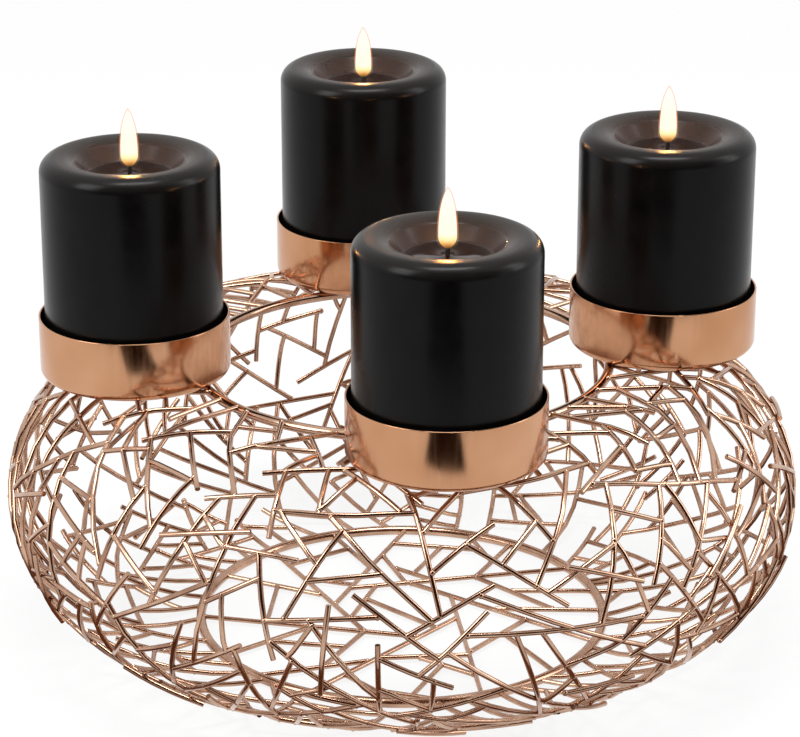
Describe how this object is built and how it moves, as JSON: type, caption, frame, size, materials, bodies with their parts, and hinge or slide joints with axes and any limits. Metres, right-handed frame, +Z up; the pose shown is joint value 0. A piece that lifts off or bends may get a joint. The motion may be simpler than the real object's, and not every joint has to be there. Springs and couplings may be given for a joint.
{
  "type": "advent candle holder",
  "caption": "Open ring-shaped cage of welded copper-coloured wire that carries round sheet cups, each holding a black pillar candle that lifts out.",
  "frame": {"origin": "middle of the base ring, on the surface that the holder stands on", "axes": "+Z up, -Y towards the front candle, +X towards the right one"},
  "size_m": [0.319, 0.3173, 0.2074],
  "materials": {
    "copper_wire": "copper plated steel wire",
    "copper_sheet": "polished copper plate",
    "wax": "satin black wax",
    "wick": "charred cotton"
  },
  "bodies": {
    "holder": {"top_ring": "copper_wire", "base_ring": "copper_wire", "upper_wires_front": "copper_wire", "upper_wires_right": "copper_wire", "upper_wires_back": "copper_wire", "upper_wires_left": "copper_wire", "bulge_wires_front": "copper_wire", "bulge_wires_right": "copper_wire", "bulge_wires_back": "copper_wire", "bulge_wires_left": "copper_wire", "lower_wires_front": "copper_wire", "lower_wires_right": "copper_wire", "lower_wires_back": "copper_wire", "lower_wires_left": "copper_wire", "lacing_wires_front": "copper_wire", "lacing_wires_right": "copper_wire", "lacing_wires_back": "copper_wire", "lacing_wires_left": "copper_wire", "floor_wires": "copper_wire", "candle_cups": "copper_sheet"},
    "candle_front": {"candle_front": "wax", "wick_front": "wick"},
    "candle_right": {"candle_right": "wax", "wick_right": "wick"},
    "candle_back": {"candle_back": "wax", "wick_back": "wick"},
    "candle_left": {"candle_left": "wax", "wick_left": "wick"}
  },
  "joints": [
    {"name": "candle_front_lift", "type": "slide", "parent": "holder", "child": "candle_front", "axis": [0, 0, 1], "range_m": [0, 0.04]},
    {"name": "candle_right_lift", "type": "slide", "parent": "holder", "child": "candle_right", "axis": [0, 0, 1], "range_m": [0, 0.04]},
    {"name": "candle_back_lift", "type": "slide", "parent": "holder", "child": "candle_back", "axis": [0, 0, 1], "range_m": [0, 0.04]},
    {"name": "candle_left_lift", "type": "slide", "parent": "holder", "child": "candle_left", "axis": [0, 0, 1], "range_m": [0, 0.04]}
  ]
}
